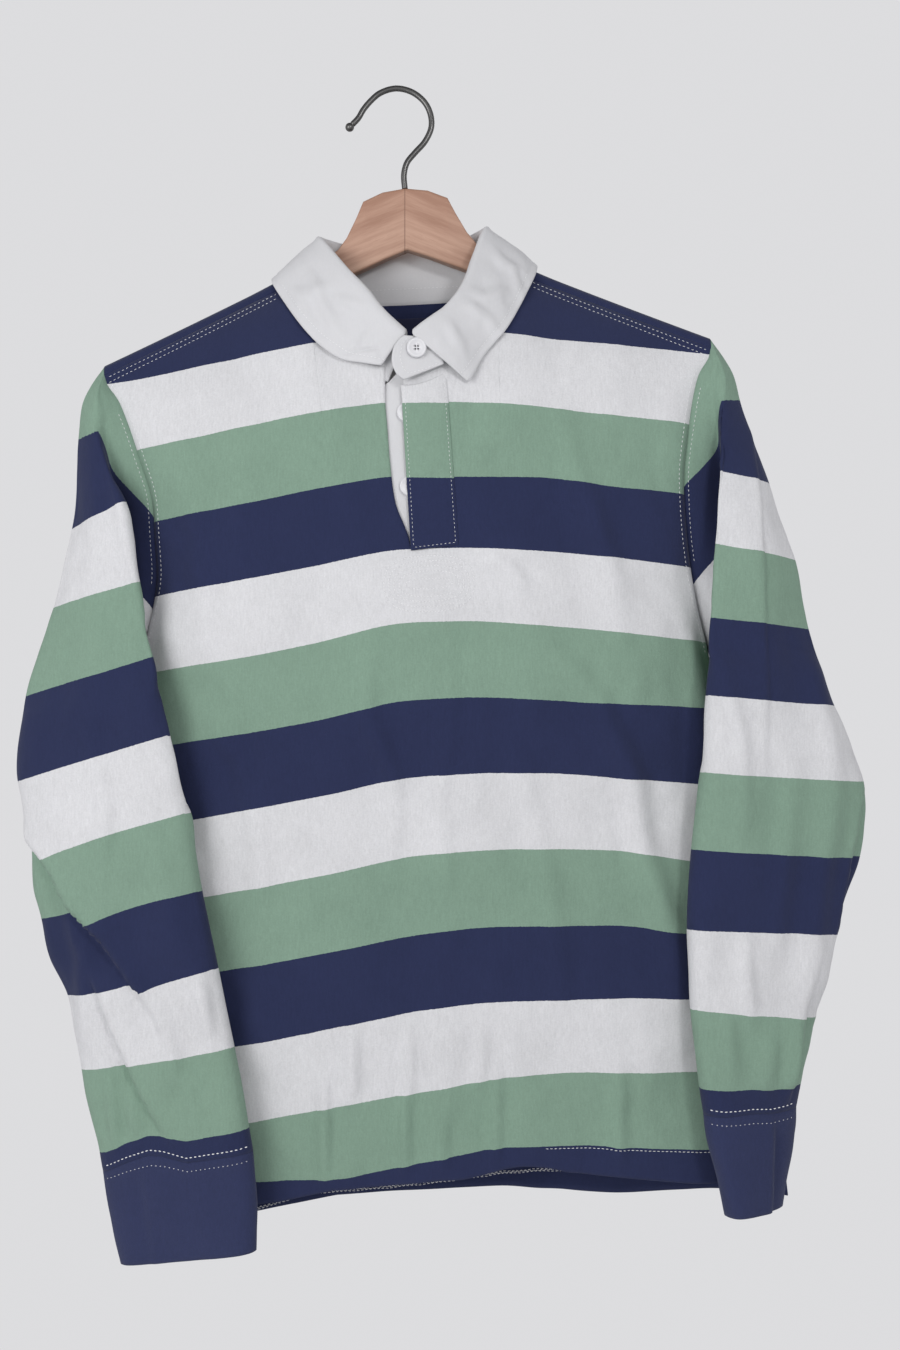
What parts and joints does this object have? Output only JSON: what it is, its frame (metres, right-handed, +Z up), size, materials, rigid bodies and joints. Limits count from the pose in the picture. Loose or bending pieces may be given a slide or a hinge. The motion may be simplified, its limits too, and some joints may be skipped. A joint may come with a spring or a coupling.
{
  "type": "rugby shirt on a hanger",
  "caption": "Long-sleeved striped rugby shirt with a white collar and buttoned placket, hung on a wooden coat hanger by its wire hook.",
  "frame": {"origin": "under the top of the hook's arc, where the hanger is carried", "axes": "+Z up, the shirt's front faces -Y, +X to the viewer's right; the hanger hangs 2.6 degrees out of level, left end low"},
  "size_m": [0.5544, 0.0876, 0.777],
  "materials": {
    "striped_jersey": "cotton jersey in navy, white and green stripes",
    "white_cotton": "white cotton twill",
    "navy_jersey": "navy cotton jersey",
    "label_cloth": "smooth woven navy",
    "button_plastic": "smooth white",
    "bare_wood": "bare sanded wood",
    "dark_steel": "dark satin wire"
  },
  "bodies": {
    "root": {"front": "striped_jersey", "back": "striped_jersey", "sleeve_left": "striped_jersey", "sleeve_right": "striped_jersey", "over_placket": "striped_jersey", "under_placket": "white_cotton", "collar_stand": "white_cotton", "collar_leaf": "white_cotton", "collar_tab": "white_cotton", "cuff_left": "navy_jersey", "cuff_right": "navy_jersey", "button_collar": "button_plastic", "button_placket_1": "button_plastic", "button_placket_2": "button_plastic", "neck_label": "label_cloth", "hanger_wood": "bare_wood", "hook": "dark_steel"}
  },
  "joints": []
}
